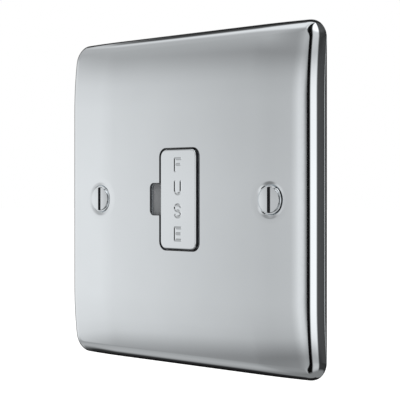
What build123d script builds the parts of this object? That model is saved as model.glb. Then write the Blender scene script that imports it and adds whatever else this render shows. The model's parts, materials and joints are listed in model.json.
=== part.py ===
from build123d import *
import os
from math import cos, hypot, pi, sin, sqrt

# Fused connection unit: a pressed metal wall plate with a pull-out fuse carrier.
# The wall is the plane Y = 0, the face looks along -Y, +Z is up, and the origin is the
# middle of the plate on the wall. A "level" is a distance in front of the wall, so the
# pieces that sit in the wall box have negative levels. Sizes are in millimetres.

# Wall plate, pressed from sheet
PLATE_SIZE = 88.0
PLATE_PROJECTION = 4.8
SHEET = 1.0
CORNER_RADIUS = 4.9
FLAT_CORNER = 1.5
SHOULDER_WIDTH = 19.0
SHOULDER_RADIUS = 110.0
EDGE_WIDTH = 4.2
EDGE_HEIGHT = 2.7
SHOULDER_STEPS = 5
EDGE_STEPS = 7

# Fixing screws and the dimples that they sit in
FIXING_CENTRES = 60.3
FIXING_DIAMETER = 3.5
FIXING_LENGTH = 20.0
FIXING_HOLE = 4.2
FIXING_NECK = 3.8
FIXING_NECK_REACH = 0.7
FIXING_HEAD = 7.2
FIXING_HEAD_TOP = 6.1
FIXING_HEAD_RISE = 1.15
FIXING_SLOT_WIDTH = 1.0
FIXING_SLOT_DEPTH = 0.9
DIMPLE_DIAMETER = 9.2
DIMPLE_DEPTH = 0.3
DIMPLE_FOOT = 0.5
CONE_GAP = 0.1

# Fuse carrier front and the pry notch beside it
CAP_WIDTH = 13.0
CAP_END_ROOM = 0.45
CAP_CORNER = 1.9
CAP_PROUD = 0.5
CAP_DEPTH = 1.7
CAP_WALL = 1.0
CAP_EDGE = 0.25
CARRIER_GAP = 0.25
FLANGE_THICKNESS = 1.8
NOTCH_WIDTH = 3.8
NOTCH_HEIGHT = 8.4
NOTCH_CORNER = 1.2
RAMP_LIP = 0.4
RAMP_DROP = 2.0
PRY_GROOVE_HEIGHT = 7.0
PRY_GROOVE_DEPTH = 1.2
PRY_GROOVE_THICKNESS = 1.2

# Cartridge fuse
FUSE_LENGTH = 25.4
FUSE_DIAMETER = 6.35
FUSE_CAP_LENGTH = 5.8
FUSE_CAP_SKIN = 0.25
FUSE_CAP_END = 0.5
FUSE_TOP_GAP = 0.325
FUSE_SEAT_GAP = 0.05

# Fuse cradle and retaining leg, moulded with the carrier
CRADLE_END_GAP = 0.9
CRADLE_WALL = 1.1
CRADLE_MOUTH = 5.2
CRADLE_GAP = 0.1
LEG_WIDTH = 9.0
LEG_THICKNESS = 1.5
BARB_REACH = 0.8
BARB_THICKNESS = 1.5
BARB_LEAD = 0.9
TRAVEL = 15.0

# Insert frame between the plate and the housing
FRAME_THICKNESS = 2.0
COLLAR_HEIGHT = 1.0
COLLAR_WALL = 2.6
LEDGE_WIDTH = 2.4
LEDGE_DEPTH = 1.4
LEDGE_GAP = 0.25

# Rear housing
LUG_ROOM = 5.15
SIDE_ROOM = 2.35
CHUTE_WALL = 3.3
HOUSING_CORNER = 3.0
HOUSING_WALL = 2.0
HOUSING_RIB = 1.5
HOUSING_FLOOR = 2.0
HOUSING_EDGE = 1.2
LEG_END_GAP = 1.5
SEAT_GAP = 0.15

# Housing screws, from the rear into the plate's threaded bosses
POST_INSET = 3.8
POST_Z = 10.0
POST_DIAMETER = 5.2
BOSS_DIAMETER = 5.5
BOSS_GAP = 0.25
ASSEMBLY_DIAMETER = 3.0
ASSEMBLY_GAP = 0.1
ASSEMBLY_THREAD_GAP = 0.05
ASSEMBLY_HEAD = 5.5
ASSEMBLY_HEAD_THICKNESS = 1.4
ASSEMBLY_RECESS_GAP = 0.2
ASSEMBLY_TIP_GAP = 0.4

# Terminals and their clamping screws
TERMINAL_WIDTH = 8.0
TERMINAL_HEIGHT = 9.0
TERMINAL_DEPTH = 10.0
TERMINAL_EDGE = 0.5
WIRE_BORE = 4.4
WIRE_COVER = 0.8
WIRE_ENTRY = 5.6
CLAMP_DIAMETER = 4.0
CLAMP_PROUD = 1.4
CLAMP_TIP_GAP = 0.3
CLAMP_THREAD_GAP = 0.05
CLAMP_ACCESS = 5.6
SLOT_WIDTH = 0.9
SLOT_DEPTH = 0.8

# Strips: fuse clips, neutral bar and earth strap
STRIP_THICKNESS = 0.7
STRIP_BEND = 0.6
BAR_WIDTH = 3.6
BAR_LAP = 3.0
TAIL_WIDTH = 5.0
CHANNEL_GAP = 0.3
CLIP_GRIP_GAP = 0.1
CLIP_LENGTH = 4.4
CLIP_INSET = 0.3
CLIP_WEB_GAP = 1.625
CLIP_REACH = 1.4
CLIP_FLARE = 0.8
ARM_WIDTH = 6.0
RISER_SETBACK = 2.6
EYELET_DIAMETER = 7.2

# Levels, from the face of the plate to the tips behind the wall
UNDERSIDE = PLATE_PROJECTION - SHEET
CAP_BACK = PLATE_PROJECTION + CAP_PROUD - CAP_DEPTH
FLANGE_BACK = CAP_BACK - FLANGE_THICKNESS
FRAME_FRONT = UNDERSIDE - COLLAR_HEIGHT
HOUSING_FRONT = FRAME_FRONT - FRAME_THICKNESS
BARB_STOP = HOUSING_FRONT - TRAVEL
LEG_END = BARB_STOP - BARB_THICKNESS
CHUTE_FLOOR = LEG_END - LEG_END_GAP
FUSE_LEVEL = FLANGE_BACK - FUSE_TOP_GAP - FUSE_DIAMETER / 2
CLIP_WEB = FUSE_LEVEL - FUSE_DIAMETER / 2 - CLIP_WEB_GAP
TERMINAL_FRONT = CLIP_WEB - STRIP_THICKNESS
WIRE_LEVEL = TERMINAL_FRONT - WIRE_COVER - WIRE_BORE / 2
FLOOR = TERMINAL_FRONT - TERMINAL_DEPTH
HOUSING_BACK = min(FLOOR, CHUTE_FLOOR) - HOUSING_FLOOR
RIM_LEVEL = PLATE_PROJECTION - DIMPLE_DEPTH
FIXING_TOP = RIM_LEVEL + FIXING_HEAD_RISE
CONE_FOOT = RIM_LEVEL - (FIXING_HEAD / 2 + CONE_GAP - FIXING_HOLE / 2)
DIMPLE_BASE = CONE_FOOT - DIMPLE_FOOT
ARM_LEVEL = DIMPLE_BASE - STRIP_THICKNESS

# Places and sizes that follow from the ones above
CORNER_RUN = sqrt(2) * SHOULDER_WIDTH - (sqrt(2) - 1) * (CORNER_RADIUS - FLAT_CORNER)
CAP_HEIGHT = FUSE_LENGTH + 2 * CAP_END_ROOM
CRADLE_LENGTH = FUSE_LENGTH - 2 * (FUSE_CAP_LENGTH + CRADLE_END_GAP)
CLIP_END = FUSE_LENGTH / 2 - CLIP_INSET
CLIP_START = CLIP_END - CLIP_LENGTH
APERTURE_WIDTH = CAP_WIDTH + 2 * CARRIER_GAP
APERTURE_HEIGHT = CAP_HEIGHT + 2 * CARRIER_GAP
APERTURE_CORNER = CAP_CORNER + CARRIER_GAP
NOTCH_EDGE = APERTURE_WIDTH / 2 + NOTCH_WIDTH
FIXING_X = FIXING_CENTRES / 2
FIXING_PLACES = [(-FIXING_X, 0), (FIXING_X, 0)]
POCKET_WIDTH = TERMINAL_WIDTH + 2 * SEAT_GAP
POCKET_HEIGHT = TERMINAL_HEIGHT + 2 * SEAT_GAP
HOUSING_WIDTH = FIXING_CENTRES - 2 * LUG_ROOM
HOUSING_HEIGHT = APERTURE_HEIGHT + 2 * (CHUTE_WALL + POCKET_HEIGHT + HOUSING_WALL)
POST_X = HOUSING_WIDTH / 2 - POST_INSET
POST_PLACES = [(-POST_X, POST_Z), (POST_X, -POST_Z)]
TERMINAL_PITCH = HOUSING_WIDTH / 2 - HOUSING_WALL - SIDE_ROOM - POCKET_WIDTH / 2
TERMINAL_ROW = HOUSING_HEIGHT / 2 - HOUSING_WALL - POCKET_HEIGHT / 2
TERMINAL_COLUMNS = {"neutral": -TERMINAL_PITCH, "live": 0, "earth": TERMINAL_PITCH}
TERMINAL_ROWS = {"supply": -TERMINAL_ROW, "load": TERMINAL_ROW}
TERMINAL_PLACES = [(x, z) for x in TERMINAL_COLUMNS.values() for z in TERMINAL_ROWS.values()]
POCKET_INNER = TERMINAL_ROW - POCKET_HEIGHT / 2
CAVITY_INNER = APERTURE_WIDTH / 2 + HOUSING_RIB
CAVITY_OUTER = HOUSING_WIDTH / 2 - HOUSING_WALL
CAVITY_HALF_HEIGHT = POCKET_INNER - HOUSING_RIB
BARREL_DIAMETER = FUSE_DIAMETER - 2 * FUSE_CAP_SKIN - 2 * FUSE_SEAT_GAP
RISER_X = TERMINAL_PITCH + BAR_WIDTH / 2 + RISER_SETBACK

os.makedirs("parts", exist_ok=True)


def level_plane(level):
    """Plane parallel to the wall and facing the room."""
    return Plane.XZ.offset(level)


def profile_plane(x=0, z=0):
    """Plane square to the wall, where u runs along +X from x and v is the level."""
    return Plane(origin=(x, 0, z), x_dir=(1, 0, 0), z_dir=(0, 0, -1))


def wall_axis(x, z):
    """Axis square to the wall."""
    return Axis((x, 0, z), (0, -1, 0))


def save(builder, name):
    """Label a finished piece and write it."""
    builder.part.label = name
    export_step(builder.part, f"parts/{name}.step")


def shoulder_level(reach, setback):
    """Level of the plate's shoulder at a distance from the flat middle."""
    return PLATE_PROJECTION - SHOULDER_RADIUS + sqrt((SHOULDER_RADIUS - setback) ** 2 - reach**2)


def skin_edge(run, setback):
    """Rolled edge of the plate, for a wall that stands run away from the flat middle.

    The edge is a quarter of an ellipse. What comes back is the angle at which it starts,
    its reach there, and the level of its centre.
    """
    width = EDGE_WIDTH - setback
    height = EDGE_HEIGHT - setback
    start = (run - EDGE_WIDTH) / ((SHOULDER_RADIUS - setback) * height / width - width)
    reach = run - EDGE_WIDTH + width * sin(start)
    return start, reach, shoulder_level(reach, setback) - height * cos(start)


def skin_reach(level, run, setback):
    """Distance from the flat middle to the plate's skin at a level."""
    start, reach, centre = skin_edge(run, setback)
    if level < shoulder_level(reach, setback):
        rise = max(level - centre, 0) / (EDGE_HEIGHT - setback)
        return run - EDGE_WIDTH + (EDGE_WIDTH - setback) * sqrt(1 - rise**2)
    across = (SHOULDER_RADIUS - setback) ** 2 - (SHOULDER_RADIUS - PLATE_PROJECTION + level) ** 2
    return sqrt(max(across, 0))


def skin_ring(level, setback):
    """Width and corner radius of the plate's skin at a level.

    The skin falls along the diagonals as it does along the sides, so the rings are full
    rounds near the face, and they square up towards the wall.
    """
    side = skin_reach(level, SHOULDER_WIDTH, setback)
    diagonal = skin_reach(level, CORNER_RUN, setback)
    corner = FLAT_CORNER + (sqrt(2) * side - diagonal) / (sqrt(2) - 1)
    return PLATE_SIZE - 2 * (SHOULDER_WIDTH - side), corner


def cushion(setback):
    """Solid pillow form of the plate, with its skin moved in by setback."""
    start, reach, centre = skin_edge(SHOULDER_WIDTH, setback)
    levels = [0]
    for step in range(EDGE_STEPS):
        turn = pi / 2 + (start - pi / 2) * step / EDGE_STEPS
        levels.append(centre + (EDGE_HEIGHT - setback) * cos(turn))
    for step in range(SHOULDER_STEPS + 1):
        levels.append(shoulder_level(reach * (1 - step / SHOULDER_STEPS), setback))
    with BuildPart() as form:
        for level in levels:
            width, corner = skin_ring(level, setback)
            with BuildSketch(level_plane(level)):
                RectangleRounded(width, width, corner)
        loft(ruled=True)
    return form.part


def beside(points, distance):
    """Corners of the path that runs to the left of another path."""
    normals = []
    for (u0, v0), (u1, v1) in zip(points, points[1:]):
        run = hypot(u1 - u0, v1 - v0)
        normals.append(((v0 - v1) / run, (u1 - u0) / run))
    corners = []
    for i, (u, v) in enumerate(points):
        before = normals[max(i - 1, 0)]
        after = normals[min(i, len(normals) - 1)]
        mitre = distance / (1 + before[0] * after[0] + before[1] * after[1])
        corners.append((u + mitre * (before[0] + after[0]), v + mitre * (before[1] + after[1])))
    return corners


def bend_radii(points, left, right):
    """One radius for each corner of a path, by the way that it turns."""
    radii = []
    for (u0, v0), (u1, v1), (u2, v2) in zip(points, points[1:], points[2:]):
        turn = (u1 - u0) * (v2 - v1) - (v1 - v0) * (u2 - u1)
        radii.append(left if turn > 0 else right)
    return radii


def strip_section(points):
    """Section of a bent metal strip that lies to the left of a path."""
    outer = STRIP_BEND + STRIP_THICKNESS
    with BuildSketch() as section:
        with BuildLine():
            near = FilletPolyline(*points, radius=bend_radii(points, outer, STRIP_BEND))
            far = FilletPolyline(
                *beside(points, STRIP_THICKNESS), radius=bend_radii(points, STRIP_BEND, outer)
            )
            Line(near @ 0, far @ 0)
            Line(near @ 1, far @ 1)
        make_face()
    return section.sketch


# Wall plate
plate_skin = cushion(0)
plate_hollow = cushion(SHEET)

with BuildPart() as front_plate:
    add(plate_skin)
    add(plate_hollow, mode=Mode.SUBTRACT)
    # Threaded bosses under the face
    with BuildSketch(level_plane(HOUSING_FRONT)):
        with Locations(*POST_PLACES):
            Circle(BOSS_DIAMETER / 2)
            Circle(ASSEMBLY_DIAMETER / 2 + ASSEMBLY_THREAD_GAP, mode=Mode.SUBTRACT)
    extrude(amount=UNDERSIDE - HOUSING_FRONT)
    # Carrier aperture with its pry notch
    with BuildSketch(level_plane(UNDERSIDE)):
        RectangleRounded(APERTURE_WIDTH, APERTURE_HEIGHT, APERTURE_CORNER)
        with Locations((-NOTCH_EDGE / 2, 0)):
            RectangleRounded(NOTCH_EDGE, NOTCH_HEIGHT, NOTCH_CORNER)
    extrude(amount=2 * SHEET, both=True, mode=Mode.SUBTRACT)
    # Dimples pressed in around the fixing holes
    for x, z in FIXING_PLACES:
        with BuildSketch(profile_plane(x, z)):
            with BuildLine():
                foot = FIXING_HOLE / 2 + SHEET
                Polyline(
                    (0, DIMPLE_BASE),
                    (foot, DIMPLE_BASE),
                    (foot + UNDERSIDE - DIMPLE_BASE, UNDERSIDE),
                    (0, UNDERSIDE + SHEET / 2),
                    close=True,
                )
            make_face()
        revolve(axis=wall_axis(x, z))
        with BuildSketch(profile_plane(x, z)):
            with BuildLine():
                Polyline(
                    (0, DIMPLE_BASE),
                    (FIXING_HOLE / 2, DIMPLE_BASE),
                    (FIXING_HOLE / 2, CONE_FOOT),
                    (FIXING_HEAD / 2 + CONE_GAP, RIM_LEVEL),
                    (DIMPLE_DIAMETER - FIXING_HEAD / 2 - CONE_GAP, PLATE_PROJECTION + DIMPLE_DEPTH),
                    (0, PLATE_PROJECTION + DIMPLE_DEPTH),
                    close=True,
                )
            make_face()
        revolve(axis=wall_axis(x, z), mode=Mode.SUBTRACT)
save(front_plate, "front_plate")

# Slotted fixing screws
with BuildPart() as fixing_screws:
    for x, z in FIXING_PLACES:
        with BuildSketch(profile_plane(x, z)):
            with BuildLine():
                Polyline(
                    (0, FIXING_TOP),
                    (0, PLATE_PROJECTION - FIXING_LENGTH),
                    (FIXING_DIAMETER / 2, PLATE_PROJECTION - FIXING_LENGTH),
                    (FIXING_DIAMETER / 2, ARM_LEVEL - FIXING_NECK_REACH),
                    (FIXING_NECK / 2, RIM_LEVEL - (FIXING_HEAD - FIXING_NECK) / 2),
                    (FIXING_HEAD / 2, RIM_LEVEL),
                    (FIXING_HEAD_TOP / 2, FIXING_TOP),
                    close=True,
                )
            make_face()
        revolve(axis=wall_axis(x, z))
    with BuildSketch(level_plane(FIXING_TOP - FIXING_SLOT_DEPTH)):
        with Locations(*FIXING_PLACES):
            Rectangle(FIXING_SLOT_WIDTH, 2 * FIXING_HEAD)
    extrude(amount=2 * FIXING_SLOT_DEPTH, mode=Mode.SUBTRACT)
save(fixing_screws, "fixing_screws")

# Insert frame: lines the aperture, floors the pry notch and closes the housing
with BuildPart() as insert_frame:
    with BuildSketch(level_plane(HOUSING_FRONT)):
        RectangleRounded(HOUSING_WIDTH, HOUSING_HEIGHT, HOUSING_CORNER)
    extrude(amount=FRAME_THICKNESS)
    with BuildSketch(level_plane(FRAME_FRONT)):
        collar = APERTURE_CORNER + COLLAR_WALL
        RectangleRounded(APERTURE_WIDTH + 2 * COLLAR_WALL, APERTURE_HEIGHT + 2 * COLLAR_WALL, collar)
        collar_edge = NOTCH_EDGE + COLLAR_WALL
        with Locations((-collar_edge / 2, 0)):
            RectangleRounded(collar_edge, NOTCH_HEIGHT + 2 * COLLAR_WALL, NOTCH_CORNER + COLLAR_WALL)
    extrude(amount=COLLAR_HEIGHT)
    with BuildSketch(level_plane(HOUSING_FRONT)):
        RectangleRounded(APERTURE_WIDTH, APERTURE_HEIGHT, APERTURE_CORNER)
    extrude(amount=FRAME_THICKNESS + COLLAR_HEIGHT, mode=Mode.SUBTRACT)
    # Corner ledges that the carrier's flange comes to rest on
    with BuildSketch(level_plane(HOUSING_FRONT)):
        RectangleRounded(APERTURE_WIDTH, APERTURE_HEIGHT, APERTURE_CORNER)
        Rectangle(APERTURE_WIDTH - 2 * LEDGE_WIDTH, APERTURE_HEIGHT, mode=Mode.SUBTRACT)
        Rectangle(APERTURE_WIDTH, APERTURE_HEIGHT - 2 * LEDGE_DEPTH, mode=Mode.SUBTRACT)
    extrude(amount=FLANGE_BACK - LEDGE_GAP - HOUSING_FRONT)
    # Pry ramp, deepest beside the carrier
    with BuildSketch(profile_plane()):
        with BuildLine():
            Polyline(
                (-NOTCH_EDGE, UNDERSIDE),
                (-NOTCH_EDGE, UNDERSIDE - RAMP_LIP),
                (-APERTURE_WIDTH / 2, UNDERSIDE - RAMP_LIP - RAMP_DROP),
                (-APERTURE_WIDTH / 2, UNDERSIDE),
                close=True,
            )
        make_face()
    extrude(amount=NOTCH_HEIGHT / 2, both=True, mode=Mode.SUBTRACT)
    # Ways for the plate's bosses and the earth strap's arm
    with BuildSketch(level_plane(HOUSING_FRONT)):
        with Locations(*POST_PLACES):
            Circle(BOSS_DIAMETER / 2 + BOSS_GAP)
    extrude(amount=FRAME_THICKNESS, mode=Mode.SUBTRACT)
    with BuildSketch(level_plane(HOUSING_FRONT)):
        channel = HOUSING_WIDTH / 2 - RISER_X + CHANNEL_GAP + STRIP_THICKNESS
        with Locations((HOUSING_WIDTH / 2 - channel / 2, 0)):
            Rectangle(channel, ARM_WIDTH + 2 * CHANNEL_GAP)
    extrude(amount=DIMPLE_BASE + CHANNEL_GAP - HOUSING_FRONT, mode=Mode.SUBTRACT)
save(insert_frame, "insert_frame")

# Rear housing: fuse chute, terminal pockets, strip channels, screw posts and wire entries
with BuildPart() as rear_housing:
    with BuildSketch(level_plane(HOUSING_BACK)):
        RectangleRounded(HOUSING_WIDTH, HOUSING_HEIGHT, HOUSING_CORNER)
    extrude(amount=HOUSING_FRONT - HOUSING_BACK)
    chamfer(rear_housing.faces().sort_by(Axis.Y)[-1].edges(), HOUSING_EDGE)
    with BuildSketch(level_plane(CHUTE_FLOOR)):
        RectangleRounded(APERTURE_WIDTH, APERTURE_HEIGHT, APERTURE_CORNER)
        with Locations((CAVITY_INNER - HOUSING_RIB / 2, 0)):
            Rectangle(2 * HOUSING_RIB, LEG_WIDTH + 2 * CARRIER_GAP)
    extrude(amount=HOUSING_FRONT - CHUTE_FLOOR, mode=Mode.SUBTRACT)
    with BuildSketch(level_plane(FLOOR)):
        with Locations(*TERMINAL_PLACES):
            Rectangle(POCKET_WIDTH, POCKET_HEIGHT)
        for side in (-1, 1):
            with Locations((side * (CAVITY_INNER + CAVITY_OUTER) / 2, 0)):
                Rectangle(CAVITY_OUTER - CAVITY_INNER, 2 * CAVITY_HALF_HEIGHT)
    extrude(amount=HOUSING_FRONT - FLOOR, mode=Mode.SUBTRACT)
    with BuildSketch(level_plane(TERMINAL_FRONT)):
        for side in (-1, 1):
            with Locations((side * TERMINAL_PITCH, 0)):
                Rectangle(BAR_WIDTH + 2 * CHANNEL_GAP, 2 * TERMINAL_ROW)
        Rectangle(TAIL_WIDTH + 2 * CHANNEL_GAP, 2 * TERMINAL_ROW)
    extrude(amount=HOUSING_FRONT - TERMINAL_FRONT, mode=Mode.SUBTRACT)
    with BuildSketch(level_plane(FLOOR)):
        with Locations(*POST_PLACES):
            Circle(POST_DIAMETER / 2)
    extrude(amount=HOUSING_FRONT - FLOOR)
    with BuildSketch(level_plane(HOUSING_BACK)):
        with Locations(*POST_PLACES):
            Circle(ASSEMBLY_DIAMETER / 2 + ASSEMBLY_GAP)
    extrude(amount=HOUSING_FRONT - HOUSING_BACK, mode=Mode.SUBTRACT)
    with BuildSketch(level_plane(HOUSING_BACK)):
        with Locations(*POST_PLACES):
            Circle(ASSEMBLY_HEAD / 2 + ASSEMBLY_RECESS_GAP)
    extrude(amount=ASSEMBLY_HEAD_THICKNESS, mode=Mode.SUBTRACT)
    with BuildSketch(level_plane(HOUSING_BACK)):
        with Locations(*TERMINAL_PLACES):
            Rectangle(CLAMP_ACCESS, CLAMP_ACCESS)
    extrude(amount=FLOOR - HOUSING_BACK, mode=Mode.SUBTRACT)
    for side in (-1, 1):
        with BuildSketch(Plane.XY.offset(side * HOUSING_HEIGHT / 2)):
            for x in TERMINAL_COLUMNS.values():
                with Locations((x, -WIRE_LEVEL)):
                    Rectangle(WIRE_ENTRY, WIRE_ENTRY)
        extrude(amount=-side * HOUSING_WALL, mode=Mode.SUBTRACT)
save(rear_housing, "rear_housing")

# Screws that draw the housing up to the plate
with BuildPart() as housing_screws:
    with BuildSketch(level_plane(HOUSING_BACK)):
        with Locations(*POST_PLACES):
            Circle(ASSEMBLY_HEAD / 2)
    extrude(amount=ASSEMBLY_HEAD_THICKNESS)
    with BuildSketch(level_plane(HOUSING_BACK)):
        with Locations(*POST_PLACES):
            Circle(ASSEMBLY_DIAMETER / 2)
    extrude(amount=UNDERSIDE - ASSEMBLY_TIP_GAP - HOUSING_BACK)
    with BuildSketch(level_plane(HOUSING_BACK)):
        with Locations(*POST_PLACES):
            Rectangle(ASSEMBLY_HEAD * 2, SLOT_WIDTH)
    extrude(amount=SLOT_DEPTH, mode=Mode.SUBTRACT)
save(housing_screws, "housing_screws")


def terminal(x, z):
    """Terminal block on the housing floor, bored for a wire and tapped for its screw."""
    with BuildPart() as block:
        with BuildSketch(level_plane(FLOOR)):
            with Locations((x, z)):
                Rectangle(TERMINAL_WIDTH, TERMINAL_HEIGHT)
        extrude(amount=TERMINAL_DEPTH)
        chamfer(block.edges().filter_by(Axis.Y), TERMINAL_EDGE)
        with BuildSketch(Plane.XY.offset(z)):
            with Locations((x, -WIRE_LEVEL)):
                Circle(WIRE_BORE / 2)
        extrude(amount=TERMINAL_HEIGHT, both=True, mode=Mode.SUBTRACT)
        with BuildSketch(level_plane(FLOOR)):
            with Locations((x, z)):
                Circle(CLAMP_DIAMETER / 2 + CLAMP_THREAD_GAP)
        extrude(amount=WIRE_LEVEL - FLOOR, mode=Mode.SUBTRACT)
    return block


for conductor, x in TERMINAL_COLUMNS.items():
    for circuit, z in TERMINAL_ROWS.items():
        save(terminal(x, z), f"{conductor}_{circuit}_terminal")

# Headless clamping screws, backed out of the wire bores
with BuildPart() as terminal_screws:
    with BuildSketch(level_plane(FLOOR - CLAMP_PROUD)):
        with Locations(*TERMINAL_PLACES):
            Circle(CLAMP_DIAMETER / 2)
    extrude(amount=CLAMP_PROUD + WIRE_LEVEL - WIRE_BORE / 2 - CLAMP_TIP_GAP - FLOOR)
    with BuildSketch(level_plane(FLOOR - CLAMP_PROUD)):
        with Locations(*TERMINAL_PLACES):
            Rectangle(CLAMP_DIAMETER * 2, SLOT_WIDTH)
    extrude(amount=SLOT_DEPTH, mode=Mode.SUBTRACT)
save(terminal_screws, "terminal_screws")


def fuse_clip(side):
    """Spring clip that grips one end cap, with a tail that lies on its live terminal."""
    grip = FUSE_DIAMETER / 2 + CLIP_GRIP_GAP
    reach = FUSE_LEVEL + CLIP_REACH
    jaw = strip_section(
        [
            (grip + CLIP_FLARE, reach + CLIP_FLARE),
            (grip, reach),
            (grip, CLIP_WEB),
            (-grip, CLIP_WEB),
            (-grip, reach),
            (-grip - CLIP_FLARE, reach + CLIP_FLARE),
        ]
    )
    with BuildPart() as clip:
        with BuildSketch(profile_plane(0, side * CLIP_START)):
            add(jaw)
        extrude(amount=-side * (CLIP_END - CLIP_START))
        with BuildSketch(level_plane(TERMINAL_FRONT)):
            with Locations((0, side * (CLIP_START + TERMINAL_ROW + BAR_LAP) / 2)):
                Rectangle(TAIL_WIDTH, TERMINAL_ROW + BAR_LAP - CLIP_START)
        extrude(amount=STRIP_THICKNESS)
    return clip


save(fuse_clip(-1), "supply_fuse_clip")
save(fuse_clip(1), "load_fuse_clip")

# Bar that joins the two neutral terminals
with BuildPart() as neutral_bar:
    with BuildSketch(level_plane(TERMINAL_FRONT)):
        with Locations((-TERMINAL_PITCH, 0)):
            Rectangle(BAR_WIDTH, 2 * (TERMINAL_ROW + BAR_LAP))
    extrude(amount=STRIP_THICKNESS)
save(neutral_bar, "neutral_bar")

# Strap that joins the two earth terminals and earths the plate at a fixing screw
strap_route = strip_section(
    [
        (TERMINAL_PITCH, TERMINAL_FRONT),
        (RISER_X, TERMINAL_FRONT),
        (RISER_X, ARM_LEVEL),
        (FIXING_X, ARM_LEVEL),
    ]
)

with BuildPart() as earth_strap:
    with BuildSketch(level_plane(TERMINAL_FRONT)):
        with Locations((TERMINAL_PITCH, 0)):
            Rectangle(BAR_WIDTH, 2 * (TERMINAL_ROW + BAR_LAP))
    extrude(amount=STRIP_THICKNESS)
    with BuildSketch(profile_plane()):
        add(strap_route)
    extrude(amount=ARM_WIDTH / 2, both=True)
    with BuildSketch(level_plane(ARM_LEVEL)):
        with Locations((FIXING_X, 0)):
            Circle(EYELET_DIAMETER / 2)
    extrude(amount=STRIP_THICKNESS)
    with BuildSketch(level_plane(ARM_LEVEL)):
        with Locations((FIXING_X, 0)):
            Circle(FIXING_HOLE / 2)
    extrude(amount=STRIP_THICKNESS, mode=Mode.SUBTRACT)
save(earth_strap, "earth_strap")

# Fuse carrier: flange and spigot under the cap, fuse cradle and retaining leg
with BuildPart() as fuse_carrier:
    with BuildSketch(level_plane(FLANGE_BACK)):
        RectangleRounded(CAP_WIDTH, CAP_HEIGHT, CAP_CORNER)
    extrude(amount=FLANGE_THICKNESS)
    with BuildSketch(level_plane(CAP_BACK)):
        spigot = 2 * (CAP_WALL + SEAT_GAP)
        RectangleRounded(CAP_WIDTH - spigot, CAP_HEIGHT - spigot, CAP_CORNER - CAP_WALL)
    extrude(amount=CAP_DEPTH - CAP_WALL)
    barrel_seat = BARREL_DIAMETER / 2 + CRADLE_GAP
    leg_outer = CAP_WIDTH / 2
    leg_inner = leg_outer - LEG_THICKNESS
    with BuildSketch(profile_plane()):
        with BuildLine():
            Polyline(
                (-barrel_seat - CRADLE_WALL, FLANGE_BACK),
                (-barrel_seat - CRADLE_WALL, FUSE_LEVEL - barrel_seat - CRADLE_WALL),
                (leg_inner, FUSE_LEVEL - barrel_seat - CRADLE_WALL),
                (leg_inner, FLANGE_BACK),
                close=True,
            )
        make_face()
        with Locations((0, FUSE_LEVEL)):
            Circle(barrel_seat, mode=Mode.SUBTRACT)
        with Locations((-barrel_seat, FUSE_LEVEL)):
            Rectangle(2 * barrel_seat, CRADLE_MOUTH, mode=Mode.SUBTRACT)
    extrude(amount=CRADLE_LENGTH / 2, both=True)
    with BuildSketch(profile_plane()):
        with BuildLine():
            Polyline(
                (leg_inner, FLANGE_BACK),
                (leg_inner, LEG_END),
                (leg_outer + BARB_REACH - BARB_LEAD, LEG_END),
                (leg_outer + BARB_REACH, LEG_END + BARB_LEAD),
                (leg_outer + BARB_REACH, BARB_STOP),
                (leg_outer, BARB_STOP),
                (leg_outer, FLANGE_BACK),
                close=True,
            )
        make_face()
    extrude(amount=LEG_WIDTH / 2, both=True)
    with BuildSketch(level_plane(CAP_BACK)):
        with Locations((-CAP_WIDTH / 2, 0)):
            Rectangle(2 * PRY_GROOVE_DEPTH, PRY_GROOVE_HEIGHT)
    extrude(amount=-PRY_GROOVE_THICKNESS, mode=Mode.SUBTRACT)
save(fuse_carrier, "fuse_carrier")

# Metal cap over the carrier's front
with BuildPart() as carrier_cap:
    with BuildSketch(level_plane(CAP_BACK)):
        RectangleRounded(CAP_WIDTH, CAP_HEIGHT, CAP_CORNER)
    extrude(amount=CAP_DEPTH)
    chamfer(carrier_cap.faces().sort_by(Axis.Y)[0].edges(), CAP_EDGE)
    with BuildSketch(level_plane(CAP_BACK)):
        inner_corner = CAP_CORNER - CAP_WALL + SEAT_GAP
        RectangleRounded(CAP_WIDTH - 2 * CAP_WALL, CAP_HEIGHT - 2 * CAP_WALL, inner_corner)
    extrude(amount=CAP_DEPTH - CAP_WALL, mode=Mode.SUBTRACT)
save(carrier_cap, "carrier_cap")

# Cartridge fuse: ceramic barrel and two end caps
with BuildPart() as fuse_barrel:
    with BuildSketch(Plane.XY):
        with Locations((0, -FUSE_LEVEL)):
            Circle(BARREL_DIAMETER / 2)
    extrude(amount=FUSE_LENGTH / 2 - FUSE_CAP_END, both=True)
save(fuse_barrel, "fuse_barrel")

with BuildPart() as fuse_end_caps:
    for side in (-1, 1):
        with BuildSketch(Plane.XY.offset(side * FUSE_LENGTH / 2)):
            with Locations((0, -FUSE_LEVEL)):
                Circle(FUSE_DIAMETER / 2)
        extrude(amount=-side * FUSE_CAP_LENGTH)
        with BuildSketch(Plane.XY.offset(side * (FUSE_LENGTH / 2 - FUSE_CAP_END))):
            with Locations((0, -FUSE_LEVEL)):
                Circle(FUSE_DIAMETER / 2 - FUSE_CAP_SKIN)
        extrude(amount=-side * FUSE_CAP_LENGTH, mode=Mode.SUBTRACT)
save(fuse_end_caps, "fuse_end_caps")
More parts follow.
